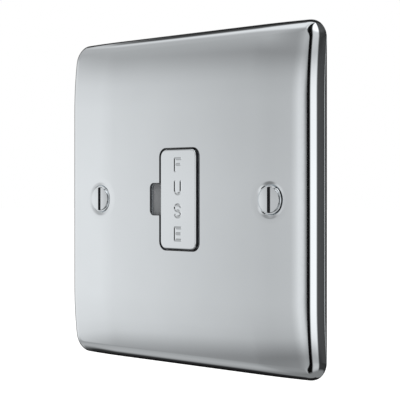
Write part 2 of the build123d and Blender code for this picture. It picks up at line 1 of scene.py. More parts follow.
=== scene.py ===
import bmesh
import bpy
import json
from math import cos, hypot, pi, radians, sin, sqrt
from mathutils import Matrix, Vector


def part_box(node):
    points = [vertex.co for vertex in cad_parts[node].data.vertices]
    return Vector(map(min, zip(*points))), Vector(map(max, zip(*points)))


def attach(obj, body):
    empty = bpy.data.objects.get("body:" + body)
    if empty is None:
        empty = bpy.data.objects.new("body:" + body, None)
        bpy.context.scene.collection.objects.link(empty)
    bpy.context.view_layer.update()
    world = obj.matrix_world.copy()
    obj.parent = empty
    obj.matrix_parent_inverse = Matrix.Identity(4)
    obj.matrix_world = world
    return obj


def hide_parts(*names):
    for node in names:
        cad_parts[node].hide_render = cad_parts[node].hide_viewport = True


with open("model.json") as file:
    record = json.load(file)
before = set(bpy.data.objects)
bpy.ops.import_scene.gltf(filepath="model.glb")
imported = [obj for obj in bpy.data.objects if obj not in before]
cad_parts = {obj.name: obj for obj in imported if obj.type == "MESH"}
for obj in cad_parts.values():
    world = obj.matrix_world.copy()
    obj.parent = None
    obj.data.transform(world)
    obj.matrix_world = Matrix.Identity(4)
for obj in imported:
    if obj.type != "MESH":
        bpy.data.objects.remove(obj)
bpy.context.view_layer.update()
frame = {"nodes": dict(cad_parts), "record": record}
scene = bpy.context.scene

# Sizes are in millimetres. A "level" is a distance in front of the wall, along -Y.
MM = 0.001
TOLERANCE = 0.01
# Cosine from which two directions count as the same
ALIGNED = 0.97


def extent(node):
    """Lowest and highest x, level and z of a CAD node."""
    low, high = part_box(node)
    return (low.x / MM, -high.y / MM, low.z / MM), (high.x / MM, -low.y / MM, high.z / MM)


plate_low, plate_high = extent("front_plate")
cap_low, cap_high = extent("carrier_cap")
screw_low, screw_high = extent("fixing_screws")
frame_low, frame_high = extent("insert_frame")

# Pressed plate
PLATE_SIZE = plate_high[0] - plate_low[0]
PLATE_FACE = plate_high[1]
SHEET = 1.0
CORNER_RADIUS = 4.9
FLAT_CORNER = 1.0
SHOULDER_WIDTH = 19.0
SHOULDER_RADIUS = 110.0
EDGE_WIDTH = 4.2
EDGE_HEIGHT = 2.7
RIM_FOOT = 0.05
SIDE_STEPS = 40
FLAT_HALF = PLATE_SIZE / 2 - SHOULDER_WIDTH

# Aperture round the carrier, and the pry notch on its left
SIDE_GAP = 0.7
END_GAP = 0.45
APERTURE_LIP = 0.08
NOTCH_EDGE = 10.55
NOTCH_HEIGHT = 8.4
NOTCH_CORNER = 1.2
NOTCH_LIP = 0.28
NOTCH_CLEAR = 0.1
CUT_MARGIN = 1.0
LIP_STEPS = 4
CORNER_STEPS = 8

# Fixing screws
HEAD = 7.2
HEAD_TOP = 6.4
HEAD_RISE = 0.6
HEAD_ROUND = 0.1
RIM_BEVEL = 0.05
RIM_BAND = 0.03
LEDGE_DROP = 0.42
LEDGE_SOFT = 0.04
FIXING_X = screw_high[0] - HEAD / 2
FIXING_TIP = screw_low[1]
FIXING_HOLE = 4.2
SHANK = 3.5
NECK = 3.8
NECK_START = 0.8
THREAD_PITCH = 0.6
THREAD_DEPTH = 0.35
THREAD_STOP = 1.6
THREAD_RUNOUT = 0.3
THREAD_RINGS = 6
TIP_SHARE = 0.6
TIP_GROWTH = 0.5
SLOT_WIDTH = 1.0
SLOT_DEPTH = 0.9
SLOT_OVERRUN = 0.1
SLOT_CORNER = 0.05
SLOT_FACING = 0.9
ROUND_STEPS = 6
TURN_STEPS = 64

# Dimples pressed round the screws: a shallow cone with a soft rim
RIM_DROP = 0.3
CONE_GAP = 0.15
CONE_SOLE = 0.5
DIMPLE_DIAMETER = 14.0
DIMPLE_DIP = 0.06
DIMPLE_RIM_RADIUS = 4.7
DIMPLE_SLOPE = 0.23
DIMPLE_SIDE_SHARE = 0.4
DIMPLE_OVERLAP = 0.003
DIMPLE_RINGS = 16
DIMPLE_STEPS = 96
RIM_LEVEL = PLATE_FACE - RIM_DROP
FIXING_TOP = RIM_LEVEL + HEAD_RISE
LEDGE_LEVEL = FIXING_TOP - LEDGE_DROP
CONE_FOOT = RIM_LEVEL - (HEAD / 2 + CONE_GAP - FIXING_HOLE / 2)
DIMPLE_BASE = CONE_FOOT - CONE_SOLE

# Threaded bosses behind the face
BOSS_DIAMETER = 5.5
BOSS_BORE = 3.1
BOSS_INSET = 3.8
BOSS_X = frame_high[0] - BOSS_INSET
BOSS_Z = 10.0
BOSS_FOOT = frame_low[1]
BOSS_STEPS = 48

# Carrier cap and its engraved word
CAP_WIDTH = cap_high[0] - cap_low[0]
CAP_HEIGHT = cap_high[2] - cap_low[2]
CAP_FRONT = cap_high[1]
CAP_BACK = cap_low[1]
CAP_CORNER = 1.9
CAP_EDGE = 0.4
CAP_SLOPE = 0.026
CAP_WALL = 1.0
CAP_FACING = 0.6
LETTER_WIDTH = 2.1
LETTER_HEIGHT = 3.2
LETTER_PITCH = 6.07
F_BAR_RISE = 0.1
F_BAR_SHARE = 0.7
E_BAR_RISE = 0.05
E_BAR_SHARE = 0.8
GROOVE = 0.42
GROOVE_DEPTH = 0.105
GRID = 0.08

# Creases sharper than these angles, in degrees, stay sharp
PRESSED_CREASE = 35
TURNED_CREASE = 32

# Finishes: range that most noise lies in
NOISE_LOW = 0.3
NOISE_HIGH = 0.7
# How far roughness varies, how many grains wide the broad patches are, and how deep the relief is
ROUGH_SPREAD = 0.2
BROAD_GRAINS = 12
RELIEF = 0.02

# The studio that reflections show, by angle in degrees. Azimuth 0 is straight in front of the plate
# and grows to its right. Panels by azimuth, as display values of the chrome that mirrors them
PANELS = [
    (-180, 150), (-140, 150), (-128, 60), (-112, 60), (-104, 150), (-98, 215), (-90, 226),
    (-52, 223), (-46, 216), (-39.5, 190), (-33, 186), (-24.8, 188), (-22.7, 220), (-21.8, 230),
    (-21.2, 220), (-20.4, 160), (-19.9, 40), (-19.4, 16), (-5.5, 16), (0.5, 250), (33, 250),
    (43, 76), (114, 70), (139.2, 62), (140, 205), (141, 205), (142, 45), (180, 42),
]
# Share of the panels' light by elevation
BANDS = [
    (-90, 0.3), (-50, 0.3), (-43, 0.46), (-36, 0.55), (-24, 0.5), (-20, 0.4), (-18.2, 0.54),
    (-15, 0.84), (-12, 0.93), (-6, 1.0), (0, 1.0), (4, 0.94), (9.5, 0.86), (12, 0.76), (14.6, 0.62),
    (16.5, 0.53), (20, 0.59), (26, 0.62), (34, 0.63), (37.5, 0.77), (40.5, 1.0), (45, 1.16), (90, 1.16),
]
# Dark flag over the left of the studio: shares by azimuth, and where it hangs above and below
FLAG_AROUND = [(-180, 0.95), (-84, 0.93), (-76, 0.82), (-70, 0.35), (-64, 0), (180, 0)]
FLAG_HEIGHT = [(-90, 1), (-38, 1), (-28, 0), (38, 0), (43, 0.5), (46, 1), (90, 1)]
# Plain walls that hide the panels high up on the left and low down all round, and their display value
HIGH_WALL = [(-90, 0), (16.8, 0), (20.5, 1), (90, 1)]
HIGH_AROUND = [(-180, 0), (-104, 0), (-92, 1), (-36, 1), (-27, 0), (180, 0)]
LOW_WALL = [(-90, 1), (-54, 1), (-44, 0), (90, 0)]
PLAIN_VALUE = 214
# Share of the light that the chrome gives back
CHROME_SHARE = 0.82
# Even light on matt surfaces
DIFFUSE_LIGHT = 0.75

# Floor and camera: places in metres, the lens in millimetres and its turn in degrees
FLOOR_HALF = 6.0
FLOOR_LEVEL = -0.12
FLOOR_TONE = 0.8
FLOOR_GLOW = 0.45
CAMERA_PLACE = (0.2054, -0.22762, 0.00214)
CAMERA_TURN = 41.63
LENS = 103.63
SENSOR = 36
LENS_SHIFT = -0.022
NEAREST = 0.01


def place(point):
    """World position of an (x, level, z) point."""
    x, level, z = point
    return Vector((x, -level, z)) * MM


def rounded_rect(width, height, corner, steps):
    """Plan outline of a rectangle with round corners."""
    outline = []
    for turn, (side, end) in enumerate(((1, 1), (-1, 1), (-1, -1), (1, -1))):
        for step in range(steps + 1):
            angle = pi / 2 * (turn + step / steps)
            x = side * (width / 2 - corner) + corner * cos(angle)
            z = end * (height / 2 - corner) + corner * sin(angle)
            outline.append((x, z))
    return outline


def flat_ring(outline, level, x=0, z=0):
    """Outline moved to a level and a place on the plate."""
    return [(x + u, level, z + v) for u, v in outline]


def circle(radius, steps):
    """Plan outline of a circle."""
    return [(radius * cos(2 * pi * i / steps), radius * sin(2 * pi * i / steps)) for i in range(steps)]


def turned(profile, steps, x=0, z=0):
    """Rings of a piece turned about an axis square to the wall."""
    return [flat_ring(circle(radius, steps), level, x, z) for radius, level in profile]


def piece_from(name, points, faces, fill=False):
    """Object of (x, level, z) points and faces. With fill, flat openings in its front are closed."""
    shape = bmesh.new()
    corners = [shape.verts.new(place(point)) for point in points]
    for face in faces:
        shape.faces.new([corners[i] for i in face])
    if fill:
        open_edges = [edge for edge in shape.edges if edge.is_boundary]
        bmesh.ops.triangle_fill(shape, edges=open_edges, use_beauty=True, normal=(0, -1, 0))
    bmesh.ops.recalc_face_normals(shape, faces=shape.faces)
    mesh = bpy.data.meshes.new(name)
    shape.to_mesh(mesh)
    shape.free()
    piece = bpy.data.objects.new(name, mesh)
    scene.collection.objects.link(piece)
    return piece


def skin_faces(rings):
    """Points and faces that join rings of equal length one to the next."""
    count = len(rings[0])
    points = [point for ring in rings for point in ring]
    faces = []
    for start in range(0, len(points) - count, count):
        for i in range(count):
            j = (i + 1) % count
            faces.append((start + i, start + j, start + count + j, start + count + i))
    return points, faces


def solid(name, rings):
    """Closed piece through rings of equal length, with flat ends."""
    points, faces = skin_faces(rings)
    count = len(rings[0])
    faces.append(tuple(range(count)))
    faces.append(tuple(range(len(points) - count, len(points))))
    return piece_from(name, points, faces)


def combine(piece, tool, operation):
    """Adds a tool solid to a piece or takes it away."""
    change = piece.modifiers.new("combine", "BOOLEAN")
    change.operation = operation
    change.solver = "EXACT"
    change.object = tool
    view = bpy.context.evaluated_depsgraph_get()
    mesh = bpy.data.meshes.new_from_object(piece.evaluated_get(view))
    piece.modifiers.clear()
    piece.data = mesh
    bpy.data.objects.remove(tool)


def shade(piece, crease, rule=None):
    """Smooth shading between creases. A rule gives exact normals where it has one."""
    mesh = piece.data
    mesh.shade_smooth()
    mesh.set_sharp_from_angle(angle=radians(crease))
    if rule is None:
        return
    normals = [tuple(normal.vector) for normal in mesh.corner_normals]
    for face in mesh.polygons:
        for corner in face.loop_indices:
            at = mesh.vertices[mesh.loops[corner].vertex_index].co / MM
            normal = rule(at.x, -at.y, at.z, face.normal)
            if normal is not None:
                normals[corner] = tuple(normal)
    mesh.normals_split_custom_set(normals)


def shoulder_level(reach, setback=0):
    """Level of the plate's shoulder at a distance from the flat middle."""
    return PLATE_FACE - SHOULDER_RADIUS + sqrt((SHOULDER_RADIUS - setback) ** 2 - reach**2)


def skin_edge(setback):
    """Start angle and centre level of the rolled edge, a quarter ellipse."""
    width, height = EDGE_WIDTH - setback, EDGE_HEIGHT - setback
    straight = SHOULDER_WIDTH - EDGE_WIDTH
    start = straight / ((SHOULDER_RADIUS - setback) * height / width - width)
    return start, shoulder_level(straight + width * sin(start), setback) - height * cos(start)


def edge_drop(inset, setback=0):
    """How far the rolled edge falls below the shoulder at a distance from the plate's outline."""
    width, height = EDGE_WIDTH - setback, EDGE_HEIGHT - setback
    start, centre = skin_edge(setback)
    across = min((EDGE_WIDTH - inset) / width, 1)
    if across < sin(start):
        return 0
    return shoulder_level(SHOULDER_WIDTH - inset, setback) - centre - height * sqrt(1 - across**2)


def cushion_level(x, z, drop, setback=0):
    """Level of the cushion over a point, where the rolled edge takes a drop off it."""
    reach = hypot(max(abs(x) - FLAT_HALF, 0), max(abs(z) - FLAT_HALF, 0))
    return max(shoulder_level(reach, setback) - drop, RIM_FOOT)


def plate_level(x, z):
    """Level of the plate's outer skin."""
    a, b = abs(x) - PLATE_SIZE / 2 + CORNER_RADIUS, abs(z) - PLATE_SIZE / 2 + CORNER_RADIUS
    out = hypot(a, b) if min(a, b) > 0 else max(a, b)
    return cushion_level(x, z, edge_drop(max(CORNER_RADIUS - out, 0)))


def plate_outline(inset, corner_steps):
    """Outline of the plate moved inwards, with points along its sides."""
    size, corner = PLATE_SIZE - 2 * inset, max(CORNER_RADIUS - inset, FLAT_CORNER)
    corners = rounded_rect(size, size, corner, corner_steps)
    outline = []
    for (x0, z0), (x1, z1) in zip(corners, corners[1:] + corners[:1]):
        steps = SIDE_STEPS if hypot(x1 - x0, z1 - z0) > 2 * corner else 1
        outline += [(x0 + (x1 - x0) * i / steps, z0 + (z1 - z0) * i / steps) for i in range(steps)]
    return outline


def skin_rings(setback, shoulder_steps, edge_steps, corner_steps):
    """Rings of one skin of the plate, from its flat face to the wall."""
    width = EDGE_WIDTH - setback
    start = skin_edge(setback)[0]
    first = EDGE_WIDTH - width * sin(start)
    fall = (first - SHOULDER_WIDTH) / shoulder_steps
    insets = [SHOULDER_WIDTH + fall * i for i in range(shoulder_steps)]
    for i in range(edge_steps + 1):
        insets.append(EDGE_WIDTH - width * sin(start + (pi / 2 - start) * i / edge_steps))
    rings = []
    for inset in insets:
        drop = edge_drop(inset, setback)
        outline = plate_outline(inset, corner_steps)
        rings.append([(x, cushion_level(x, z, drop, setback), z) for x, z in outline])
    return rings + [flat_ring(outline, 0)]


def plate_normal(x, level, z, facing):
    """Exact normal of the plate's outer skin, where a face belongs to that skin."""
    step = 1e-3
    least_tilt = 0.02
    slope_x = (plate_level(x + step, z) - plate_level(x - step, z)) / (2 * step)
    slope_z = (plate_level(x, z + step) - plate_level(x, z - step)) / (2 * step)
    normal = Vector((-slope_x, -1, -slope_z)).normalized()
    off_skin = abs(level - plate_level(x, z)) * max(-normal.y, least_tilt) > TOLERANCE
    return None if off_skin or facing.dot(normal) < ALIGNED else normal


def lipped_cutter(name, width, height, corner, lip, x=0):
    """Cutter for an opening in the sheet, with a small round lip at the face."""
    steps = [(0, PLATE_FACE - 2 * SHEET), (0, PLATE_FACE - SHEET / 2)]
    for i in range(LIP_STEPS):
        angle = pi / 2 * i / LIP_STEPS
        steps.append((lip * (1 - cos(angle)), PLATE_FACE - lip * (1 - sin(angle))))
    steps.append((lip, PLATE_FACE + SHEET))
    rings = []
    for out, level in steps:
        outline = rounded_rect(width + 2 * out, height + 2 * out, corner + out, CORNER_STEPS)
        rings.append(flat_ring(outline, level, x))
    return solid(name, rings)


def dimple_dip(radius, upright):
    """Depth of the pressed dimple at a radius, steeper above and below the screw than beside it."""
    if radius < DIMPLE_RIM_RADIUS:
        share = DIMPLE_SIDE_SHARE + (1 - DIMPLE_SIDE_SHARE) * upright
        return DIMPLE_DIP + DIMPLE_SLOPE * share * (DIMPLE_RIM_RADIUS - radius)
    fade = (DIMPLE_DIAMETER / 2 - radius) / (DIMPLE_DIAMETER / 2 - DIMPLE_RIM_RADIUS)
    return DIMPLE_DIP * fade**2


def dimple_cutter(x):
    """Cutter for a fixing hole, its cone and the soft dip pressed into the skin around it."""
    inner, outer = HEAD / 2 + CONE_GAP, DIMPLE_DIAMETER / 2
    hole = [(FIXING_HOLE / 2, DIMPLE_BASE - SHEET), (FIXING_HOLE / 2, CONE_FOOT)]
    rings = turned(hole, DIMPLE_STEPS, x)
    for i in range(DIMPLE_RINGS + 1):
        t = i / DIMPLE_RINGS
        radius = inner + (outer - inner) * t
        ring = []
        for u, v in circle(radius, DIMPLE_STEPS):
            skin = shoulder_level(max(abs(x + u) - FLAT_HALF, 0))
            dip = dimple_dip(radius, (v / radius) ** 2)
            ring.append((x + u, skin - dip + DIMPLE_OVERLAP * t, v))
        rings.append(ring)
    rings += turned([(outer, PLATE_FACE + SHEET)], DIMPLE_STEPS, x)
    return solid("dimple", rings)


def dimple_cup(x):
    """Cup of sheet behind a fixing hole."""
    underside = PLATE_FACE - SHEET
    foot = FIXING_HOLE / 2 + SHEET
    profile = [
        (foot, DIMPLE_BASE),
        (foot + underside - DIMPLE_BASE, underside),
        (foot, underside + SHEET / 2),
    ]
    return solid("cup", turned(profile, TURN_STEPS, x))


def threaded_boss(x, z):
    """Boss behind the face that takes a housing screw."""
    underside = PLATE_FACE - SHEET
    profile = [
        (BOSS_BORE / 2, underside),
        (BOSS_BORE / 2, BOSS_FOOT),
        (BOSS_DIAMETER / 2, BOSS_FOOT),
        (BOSS_DIAMETER / 2, underside + SHEET / 3),
    ]
    return solid("boss", turned(profile, BOSS_STEPS, x, z))


def make_plate():
    """Pressed sheet: cushion skin, aperture, pry notch, dimples and bosses."""
    outer = skin_rings(0, shoulder_steps=24, edge_steps=28, corner_steps=12)
    inner = skin_rings(SHEET, shoulder_steps=8, edge_steps=8, corner_steps=12)
    plate = solid("plate", outer + inner[::-1])
    width, height = CAP_WIDTH + 2 * SIDE_GAP, CAP_HEIGHT + 2 * END_GAP
    aperture = lipped_cutter("aperture", width, height, CAP_CORNER + END_GAP, APERTURE_LIP)
    combine(plate, aperture, "DIFFERENCE")
    notch = lipped_cutter("notch", NOTCH_EDGE, NOTCH_HEIGHT, NOTCH_CORNER, NOTCH_LIP, -NOTCH_EDGE / 2)
    combine(plate, notch, "DIFFERENCE")
    for side in (-1, 1):
        combine(plate, dimple_cup(side * FIXING_X), "UNION")
        combine(plate, dimple_cutter(side * FIXING_X), "DIFFERENCE")
        combine(plate, threaded_boss(side * BOSS_X, -side * BOSS_Z), "UNION")
    shade(plate, PRESSED_CREASE, plate_normal)
    return plate


def thread_rings(x, end):
    """Rings of a rolled thread from the tip of a fixing screw to a level."""
    rings = []
    count = int((end - FIXING_TIP) / THREAD_PITCH * THREAD_RINGS)
    for i in range(count + 1):
        level = FIXING_TIP + (end - FIXING_TIP) * i / count
        taper = min(1, TIP_SHARE + TIP_GROWTH * (level - FIXING_TIP))
        ring = []
        for k in range(TURN_STEPS):
            turn = k / TURN_STEPS
            phase = ((level - FIXING_TIP) / THREAD_PITCH - turn) % 1
            radius = SHANK / 2 * taper - THREAD_DEPTH * abs(2 * phase - 1)
            ring.append((x + radius * cos(2 * pi * turn), level, radius * sin(2 * pi * turn)))
        rings.append(ring)
    return rings


def head_profile(thread_end):
    """Profile of a fixing screw from the end of its thread to its top."""
    profile = [
        (SHANK / 2 - THREAD_DEPTH, thread_end + THREAD_RUNOUT),
        (NECK / 2, thread_end + NECK_START),
        (NECK / 2, RIM_LEVEL - (HEAD - NECK) / 2),
        (HEAD / 2 - RIM_BEVEL, RIM_LEVEL - RIM_BEVEL),
        (HEAD / 2, RIM_LEVEL + RIM_BAND),
        (HEAD / 2 - RIM_BAND, LEDGE_LEVEL - LEDGE_SOFT),
        (HEAD / 2 - 2 * LEDGE_SOFT, LEDGE_LEVEL),
        (HEAD_TOP / 2 + LEDGE_SOFT, LEDGE_LEVEL + LEDGE_SOFT / 4),
        (HEAD_TOP / 2, LEDGE_LEVEL + RIM_BEVEL),
    ]
    for i in range(ROUND_STEPS + 1):
        angle = pi / 2 * i / ROUND_STEPS
        reach = HEAD_TOP / 2 - HEAD_ROUND * (1 - cos(angle))
        profile.append((reach, FIXING_TOP - HEAD_ROUND * (1 - sin(angle))))
    return profile


def make_screw(name, x):
    """Slotted countersunk screw with a raised head on a small ledge, and a rolled thread."""
    thread_end = CONE_FOOT - THREAD_STOP
    rings = thread_rings(x, thread_end) + turned(head_profile(thread_end), TURN_STEPS, x)
    screw = solid(name, rings)
    slot = rounded_rect(SLOT_WIDTH, HEAD_TOP + SLOT_OVERRUN, SLOT_CORNER, steps=2)
    levels = [FIXING_TOP - SLOT_DEPTH, FIXING_TOP + SLOT_DEPTH]
    combine(screw, solid("slot", [flat_ring(slot, level, x) for level in levels]), "DIFFERENCE")
    shade(screw, TURNED_CREASE)
    return screw


def arc(x, z, across, up, start, end, steps=14):
    """Points of an elliptical arc, with its angles in degrees."""
    angles = [radians(start + (end - start) * i / steps) for i in range(steps + 1)]
    return [(x + across * cos(angle), z + up * sin(angle)) for angle in angles]


def letter_strokes():
    """Centre-lines of the word's four letters, stacked down the cap."""
    w, h = LETTER_WIDTH / 2, LETTER_HEIGHT / 2
    bowl = h / 2
    f_bar = [(-w, F_BAR_RISE), (F_BAR_SHARE * w, F_BAR_RISE)]
    e_bar = [(-w, E_BAR_RISE), (E_BAR_SHARE * w, E_BAR_RISE)]
    letters = [
        [[(w, h), (-w, h), (-w, -h)], f_bar],
        [[(-w, h)] + arc(0, -h + w, w, w, 180, 360) + [(w, h)]],
        [arc(0, bowl, w, bowl, 25, 270) + arc(0, -bowl, w, bowl, 90, -155)],
        [[(w, h), (-w, h), (-w, -h), (w, -h)], e_bar],
    ]
    middle = (len(letters) - 1) / 2
    strokes = []
    for row, letter in enumerate(letters):
        shift = LETTER_PITCH * (middle - row)
        strokes += [[(x, z + shift) for x, z in line] for line in letter]
    return strokes


STROKES = letter_strokes()


def groove(x, z):
    """Depth of the engraving under a point of the cap's face."""
    near = GROOVE
    for line in STROKES:
        for (x0, z0), (x1, z1) in zip(line, line[1:]):
            if min(z0, z1) - GROOVE > z or max(z0, z1) + GROOVE < z:
                continue
            run = (x1 - x0) ** 2 + (z1 - z0) ** 2
            t = min(1, max(0, ((x - x0) * (x1 - x0) + (z - z0) * (z1 - z0)) / run))
            near = min(near, hypot(x - x0 - t * (x1 - x0), z - z0 - t * (z1 - z0)))
    return GROOVE_DEPTH * (1 - near / GROOVE)


def cap_level(x):
    """Level of the cap's face, which stands a little higher on its right."""
    return CAP_FRONT + CAP_SLOPE * x


def cap_normal(x, level, z, facing):
    """Exact normal of the cap's face and of the engraving in it."""
    if facing.y > -CAP_FACING or abs(x) > CAP_WIDTH / 2 - CAP_EDGE + TOLERANCE:
        return None
    lowest = cap_level(x) - GROOVE_DEPTH - TOLERANCE
    if abs(z) > CAP_HEIGHT / 2 - CAP_EDGE + TOLERANCE or level < lowest:
        return None
    step = GRID / 2
    slope_x = (groove(x + step, z) - groove(x - step, z)) / (2 * step)
    slope_z = (groove(x, z + step) - groove(x, z - step)) / (2 * step)
    return Vector((slope_x - CAP_SLOPE, -1, slope_z)).normalized()


def cap_rings():
    """Rings of the cap, from the edge of its face round its sides into its hollow back."""
    rings = []
    for i in range(ROUND_STEPS + 1):
        angle = pi / 2 * i / ROUND_STEPS
        out = CAP_EDGE * (1 - sin(angle))
        drop = CAP_EDGE * (1 - cos(angle))
        outline = rounded_rect(CAP_WIDTH - 2 * out, CAP_HEIGHT - 2 * out, CAP_CORNER, CORNER_STEPS)
        rings.append([(x, cap_level(x) - drop, z) for x, z in outline])
    rings.append(flat_ring(rounded_rect(CAP_WIDTH, CAP_HEIGHT, CAP_CORNER, CORNER_STEPS), CAP_BACK))
    width, height = CAP_WIDTH - 2 * CAP_WALL, CAP_HEIGHT - 2 * CAP_WALL
    hollow = rounded_rect(width, height, CAP_CORNER - CAP_WALL, CORNER_STEPS)
    return rings + [flat_ring(hollow, CAP_BACK), flat_ring(hollow, CAP_FRONT - CAP_WALL)]


def make_cap():
    """Chrome front of the carrier: a shallow shell with its word engraved in the face."""
    rings = cap_rings()
    points, faces = skin_faces(rings)
    count = len(rings[-1])
    faces.append(tuple(range(len(points) - count, len(points))))
    columns = round((LETTER_WIDTH + 4 * GROOVE) / GRID)
    rows = round((3 * LETTER_PITCH + LETTER_HEIGHT + 4 * GROOVE) / GRID)
    first = len(points)
    for row in range(rows + 1):
        for column in range(columns + 1):
            x, z = (column - columns / 2) * GRID, (row - rows / 2) * GRID
            points.append((x, cap_level(x) - groove(x, z), z))
    line = columns + 1
    for row in range(rows):
        for column in range(columns):
            at = first + row * line + column
            faces.append((at, at + 1, at + line + 1, at + line))
    cap = piece_from("cap", points, faces, fill=True)
    shade(cap, PRESSED_CREASE, cap_normal)
    return cap


class Shader:
    """Small helper that builds one node material or world."""

    def __init__(self, tree):
        self.tree = tree
        tree.nodes.clear()

    def node(self, kind, **settings):
        made = self.tree.nodes.new(kind)
        for name, value in settings.items():
            setattr(made, name, value)
        return made

    def join(self, source, target):
        self.tree.links.new(source, target)

    def math(self, operation, first, second=None):
        made = self.node("ShaderNodeMath", operation=operation)
        for value, socket in zip((first, second), made.inputs):
            if isinstance(value, (int, float)):
                socket.default_value = value
            elif value is not None:
                self.join(value, socket)
        return made.outputs[0]

    def noise(self, scale, detail, stretch=(1, 1, 1)):
        where = self.node("ShaderNodeTexCoord").outputs["Object"]
        mapping = self.node("ShaderNodeMapping")
        mapping.inputs["Scale"].default_value = stretch
        self.join(where, mapping.inputs["Vector"])
        made = self.node("ShaderNodeTexNoise")
        made.inputs["Scale"].default_value = scale
        made.inputs["Detail"].default_value = detail
        self.join(mapping.outputs["Vector"], made.inputs["Vector"])
        return made.outputs["Fac"]

    def spread(self, value, low, high):
        made = self.node("ShaderNodeMapRange")
        made.inputs["From Min"].default_value = NOISE_LOW
        made.inputs["From Max"].default_value = NOISE_HIGH
        made.inputs["To Min"].default_value = low
        made.inputs["To Max"].default_value = high
        self.join(value, made.inputs["Value"])
        return made.outputs["Result"]

    def ramp(self, value, stops):
        made = self.node("ShaderNodeValToRGB")
        elements = made.color_ramp.elements
        elements[0].position, elements[1].position = stops[0][0], stops[-1][0]
        elements[0].color, elements[1].color = (*stops[0][1], 1), (*stops[-1][1], 1)
        for position, colour in stops[1:-1]:
            elements.new(position).color = (*colour, 1)
        self.join(value, made.inputs["Fac"])
        return made.outputs["Color"]


def finish(name, colour, metal, rough, grain, stretch=(1, 1, 1), tone=0.05, bump=0.0):
    """Material whose colour, roughness and relief vary a little over the surface."""
    material = bpy.data.materials.new(name)
    material.use_nodes = True
    shader = Shader(material.node_tree)
    surface = shader.node("ShaderNodeBsdfPrincipled")
    surface.inputs["Metallic"].default_value = metal
    fine = shader.noise(grain, 3, stretch)
    broad = shader.noise(grain / BROAD_GRAINS, 2)
    darker = [max(0, value * (1 - tone)) for value in colour]
    lighter = [min(1, value * (1 + tone)) for value in colour]
    shade_stops = [(NOISE_LOW, darker), (NOISE_HIGH, lighter)]
    shader.join(shader.ramp(broad, shade_stops), surface.inputs["Base Color"])
    roughness = shader.spread(fine, rough * (1 - ROUGH_SPREAD), rough * (1 + ROUGH_SPREAD))
    shader.join(roughness, surface.inputs["Roughness"])
    if bump:
        relief = shader.node("ShaderNodeBump")
        relief.inputs["Strength"].default_value = bump
        relief.inputs["Distance"].default_value = RELIEF * MM
        shader.join(fine, relief.inputs["Height"])
        shader.join(relief.outputs["Normal"], surface.inputs["Normal"])
    out = shader.node("ShaderNodeOutputMaterial")
    shader.join(surface.outputs["BSDF"], out.inputs["Surface"])
    return material


def paint(piece, material):
    """Gives a piece one material."""
    if piece.material_slots:
        for slot in piece.material_slots:
            slot.material = material
    else:
        piece.data.materials.append(material)


def is_slot_shade(x, level, z, facing):
    """Whether a point of a screw lies on the walls or the floor of its slot, which get painted shade.
    """
    depth = FIXING_TOP - level
    if abs(abs(x) - FIXING_X) > SLOT_WIDTH / 2 + TOLERANCE or depth > SLOT_DEPTH + TOLERANCE:
        return False
    return depth > SLOT_DEPTH - TOLERANCE or abs(facing.x) > SLOT_FACING


def is_cut_shade(x, level, z, facing):
    """Whether a point lies on the part of the sheet's cut edge that gets painted shade, half as deep in
    the notch.
    """
    beside = -NOTCH_EDGE - CUT_MARGIN < x < CAP_WIDTH / 2 + CUT_MARGIN
    near = beside and abs(z) < CAP_HEIGHT / 2 + CUT_MARGIN
    in_notch = x < -CAP_WIDTH / 2 - SIDE_GAP - NOTCH_CLEAR
    depth = SHEET / 2 if in_notch else SHEET
    return near and level > PLATE_FACE - depth and abs(facing.y) < ALIGNED


def paint_shade(piece, material, rule):
    """Gives the faces that a rule picks a second material, a dark painted shade."""
    piece.data.materials.append(material)
    for face in piece.data.polygons:
        at = face.center / MM
        if rule(at.x, -at.y, at.z, face.normal):
            face.material_index = len(piece.data.materials) - 1


MATERIALS = {
    "polished_chrome": finish(
        "chrome", (0.78, 0.815, 0.84), metal=1, rough=0.05, grain=900, tone=0.01
    ),
    # Darker than the plastic's own grey: painted shade for the recess seen through the pry notch
    "grey_plastic": finish(
        "grey_plastic", (0.2, 0.207, 0.215), metal=0, rough=0.45, grain=2500, tone=0.06, bump=0.4
    ),
    "white_plastic": finish(
        "white_plastic", (0.82, 0.82, 0.8), metal=0, rough=0.42, grain=2200, tone=0.03, bump=0.3
    ),
    "zinc_steel": finish(
        "zinc_steel", (0.68, 0.69, 0.7), metal=1, rough=0.3, grain=1800, tone=0.08, bump=0.2
    ),
    "brass": finish(
        "brass", (0.76, 0.6, 0.3), metal=1, rough=0.28, grain=1500,
        stretch=(1, 1, 6), tone=0.08, bump=0.2,
    ),
    "spring_brass": finish(
        "spring_brass", (0.78, 0.58, 0.36), metal=1, rough=0.25, grain=1500,
        stretch=(6, 1, 1), tone=0.08, bump=0.2,
    ),
    "fuse_ceramic": finish(
        "ceramic", (0.88, 0.86, 0.8), metal=0, rough=0.3, grain=1200, tone=0.04, bump=0.2
    ),
    # Dark grey painted shade for the screws' slots and the sheet's cut edges, not a colour of the metal
    "painted_shade": finish(
        "painted_shade", (0.2, 0.205, 0.215), metal=1, rough=0.5, grain=1500, tone=0.12, bump=0.2
    ),
    "nickel": finish(
        "nickel", (0.74, 0.72, 0.68), metal=1, rough=0.18, grain=1600,
        stretch=(1, 1, 5), tone=0.05, bump=0.1,
    ),
}
NODE_SLOTS = {part["node"]: part["material_slot"] for part in frame["record"]["subparts"]}

for node, shape in frame["nodes"].items():
    paint(shape, MATERIALS[NODE_SLOTS[node]])

